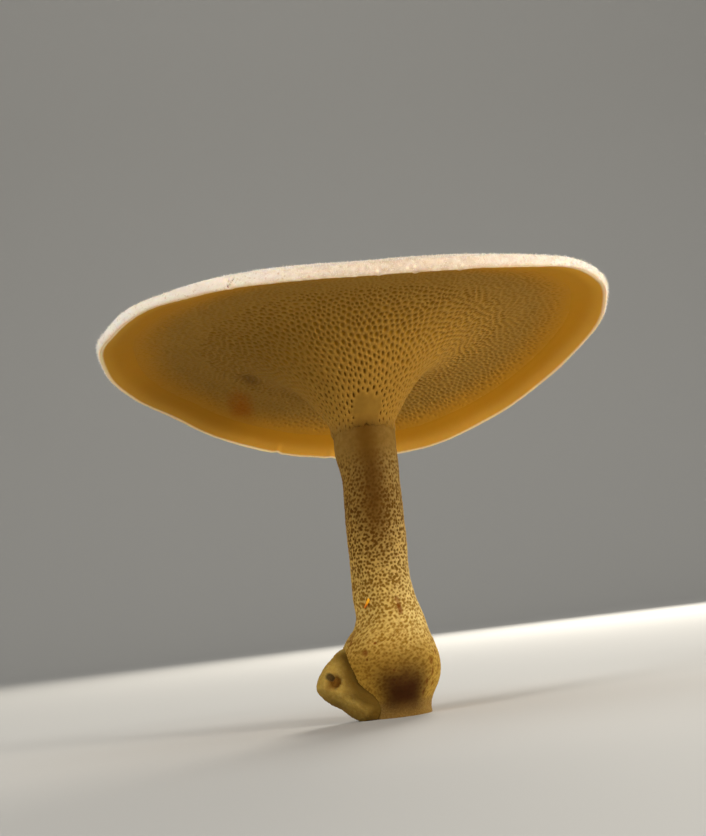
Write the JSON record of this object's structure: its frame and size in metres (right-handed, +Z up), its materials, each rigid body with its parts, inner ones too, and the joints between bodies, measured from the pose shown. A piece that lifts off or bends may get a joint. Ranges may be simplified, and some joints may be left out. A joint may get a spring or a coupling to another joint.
{
  "type": "winter polypore",
  "caption": "Small stalked polypore mushroom with a wavy round cap, pored trumpet-shaped underside, swollen foot and pale mycelium pad, cut flat to stand.",
  "frame": {"origin": "middle of the stem's flat cut, where the mushroom rests", "axes": "+Z up along the stem, -Y towards the side the picture shows, +X to its right"},
  "size_m": [0.0419, 0.0402, 0.0344],
  "materials": {
    "cap": "matt tan flesh, cream rim, brown pores",
    "stem": "matt brown, scurfy with pale fibrils",
    "mycelium_pad": "matt cream felt"
  },
  "bodies": {
    "root": {"cap": "cap", "stem": "stem", "mycelium_pad": "mycelium_pad"}
  },
  "joints": []
}
